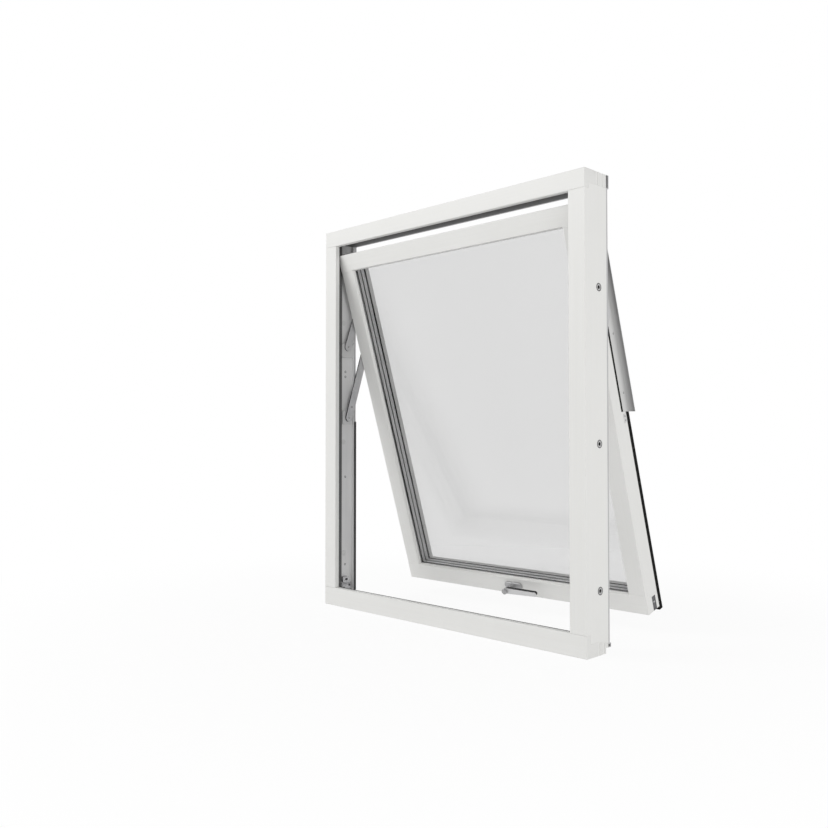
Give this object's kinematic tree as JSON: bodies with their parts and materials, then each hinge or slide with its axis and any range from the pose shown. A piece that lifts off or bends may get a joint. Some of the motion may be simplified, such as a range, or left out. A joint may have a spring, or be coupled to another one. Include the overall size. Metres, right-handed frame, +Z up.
{
  "type": "pivot window",
  "caption": "White timber pivot window with its frame, tilted open on side arms and sliding shoes, triple glazed, with a lever handle on the bottom rail.",
  "frame": {"origin": "middle of the sill's flat underside", "axes": "+Z up, +Y to the outside, +X to the right as seen from the room"},
  "size_m": [0.98, 0.4199, 1.18],
  "materials": {
    "painted_timber": "white opaque paint, satin",
    "frame_rubber": "dark grey extruded seal",
    "black_rubber": "black seal, matt",
    "channel_aluminium": "anodised, matt",
    "cladding_aluminium": "powder coated light grey",
    "zinc_steel": "zinc plated",
    "slide_plastic": "moulded, dark grey",
    "sleeve_plastic": "moulded, dark grey",
    "clear_glass": "clear float glass",
    "spacer_bar": "satin grey",
    "handle_metal": "satin nickel",
    "lock_steel": "bright zinc",
    "lock_cover": "dark grey anodised"
  },
  "bodies": {
    "frame": {"head": "painted_timber", "sill": "painted_timber", "left_jamb": "painted_timber", "right_jamb": "painted_timber", "fixing_sleeves": "sleeve_plastic", "frame_seal": "frame_rubber", "left_guide_channel": "channel_aluminium", "right_guide_channel": "channel_aluminium", "left_pivot_block": "zinc_steel", "right_pivot_block": "zinc_steel", "left_keeper": "zinc_steel", "right_keeper": "zinc_steel", "head_cladding": "cladding_aluminium", "sill_cladding": "cladding_aluminium", "left_lower_cladding": "cladding_aluminium", "right_lower_cladding": "cladding_aluminium", "left_corner_cladding": "cladding_aluminium", "right_corner_cladding": "cladding_aluminium"},
    "sash": {"sash_top_rail": "painted_timber", "sash_bottom_rail": "painted_timber", "left_stile": "painted_timber", "right_stile": "painted_timber", "sash_edge_seal": "black_rubber", "inner_glazing_seal": "black_rubber", "outer_glazing_seal": "black_rubber", "edge_sealant": "black_rubber", "left_cover": "cladding_aluminium", "right_cover": "cladding_aluminium", "sash_top_cladding": "cladding_aluminium", "sash_bottom_cladding": "cladding_aluminium", "left_sash_cladding": "cladding_aluminium", "right_sash_cladding": "cladding_aluminium", "left_sash_plate": "zinc_steel", "right_sash_plate": "zinc_steel", "cover_brackets": "zinc_steel", "setting_blocks": "slide_plastic", "inner_pane": "clear_glass", "middle_pane": "clear_glass", "outer_pane": "clear_glass", "inner_spacer": "spacer_bar", "outer_spacer": "spacer_bar", "handle_rose": "handle_metal", "lock_case": "lock_steel", "lock_faceplate": "lock_cover"},
    "left_arm": {"left_main_arm": "zinc_steel"},
    "right_arm": {"right_main_arm": "zinc_steel"},
    "left_slider": {"left_top_shoe": "slide_plastic"},
    "right_slider": {"right_top_shoe": "slide_plastic"},
    "left_link": {"left_brake_link": "zinc_steel"},
    "right_link": {"right_brake_link": "zinc_steel"},
    "left_brake": {"left_brake_shoe": "slide_plastic"},
    "right_brake": {"right_brake_shoe": "slide_plastic"},
    "handle": {"handle_lever": "handle_metal", "handle_spindle": "handle_metal", "lock_pinion": "lock_steel"},
    "left_lock_bolt": {"left_bolt": "lock_steel"},
    "right_lock_bolt": {"right_bolt": "lock_steel"}
  },
  "joints": [
    {"name": "window_swing", "type": "hinge", "parent": "frame", "child": "left_arm", "pos_m": [-0.4556, 0.026, 0.59], "axis": [-1, 0, 0], "range_deg": [-17.4, 57.6]},
    {"name": "right_arm_swing", "type": "hinge", "parent": "frame", "child": "right_arm", "pos_m": [0.4556, 0.026, 0.59], "axis": [-1, 0, 0], "range_deg": [-17.4, 57.6]},
    {"name": "sash_tilt", "type": "hinge", "parent": "left_arm", "child": "sash", "pos_m": [-0.4556, 0.10689, 0.84812], "axis": [-1, 0, 0], "range_deg": [-115.2, 34.8]},
    {"name": "left_slider_turn", "type": "hinge", "parent": "sash", "child": "left_slider", "pos_m": [-0.4666, 0.026, 1.10624], "axis": [-1, 0, 0], "range_deg": [-17.4, 57.6]},
    {"name": "left_link_swing", "type": "hinge", "parent": "sash", "child": "left_link", "pos_m": [-0.4597, 0.07682, 0.96193], "axis": [-1, 0, 0], "range_deg": [-34.8, 115.2]},
    {"name": "left_brake_turn", "type": "hinge", "parent": "left_link", "child": "left_brake", "pos_m": [-0.4597, 0.026, 0.81762], "axis": [-1, 0, 0], "range_deg": [-57.6, 17.4]},
    {"name": "right_slider_turn", "type": "hinge", "parent": "sash", "child": "right_slider", "pos_m": [0.4666, 0.026, 1.10624], "axis": [-1, 0, 0], "range_deg": [-17.4, 57.6]},
    {"name": "right_link_swing", "type": "hinge", "parent": "sash", "child": "right_link", "pos_m": [0.4597, 0.07682, 0.96193], "axis": [-1, 0, 0], "range_deg": [-34.8, 115.2]},
    {"name": "right_brake_turn", "type": "hinge", "parent": "right_link", "child": "right_brake", "pos_m": [0.4597, 0.026, 0.81762], "axis": [-1, 0, 0], "range_deg": [-57.6, 17.4]},
    {"name": "handle_turn", "type": "hinge", "parent": "sash", "child": "handle", "pos_m": [0, 0.29808, 0.07753], "axis": [0, -0.9542, -0.299], "range_deg": [0, 90]},
    {"name": "left_bolt_throw", "type": "slide", "parent": "sash", "child": "left_lock_bolt", "axis": [-1, 0, 0], "range_m": [0, 0.00864]},
    {"name": "right_bolt_throw", "type": "slide", "parent": "sash", "child": "right_lock_bolt", "axis": [1, 0, 0], "range_m": [0, 0.00864]}
  ],
  "couplings": [
    {"joint": "right_arm_swing", "follows": "window_swing", "ratio": 1},
    {"joint": "sash_tilt", "follows": "window_swing", "ratio": -2},
    {"joint": "left_slider_turn", "follows": "window_swing", "ratio": 1},
    {"joint": "left_link_swing", "follows": "window_swing", "ratio": 2},
    {"joint": "left_brake_turn", "follows": "window_swing", "ratio": -1},
    {"joint": "right_slider_turn", "follows": "window_swing", "ratio": 1},
    {"joint": "right_link_swing", "follows": "window_swing", "ratio": 2},
    {"joint": "right_brake_turn", "follows": "window_swing", "ratio": -1},
    {"joint": "left_bolt_throw", "follows": "handle_turn", "m_per_rad": 0.0055},
    {"joint": "right_bolt_throw", "follows": "handle_turn", "m_per_rad": 0.0055}
  ]
}
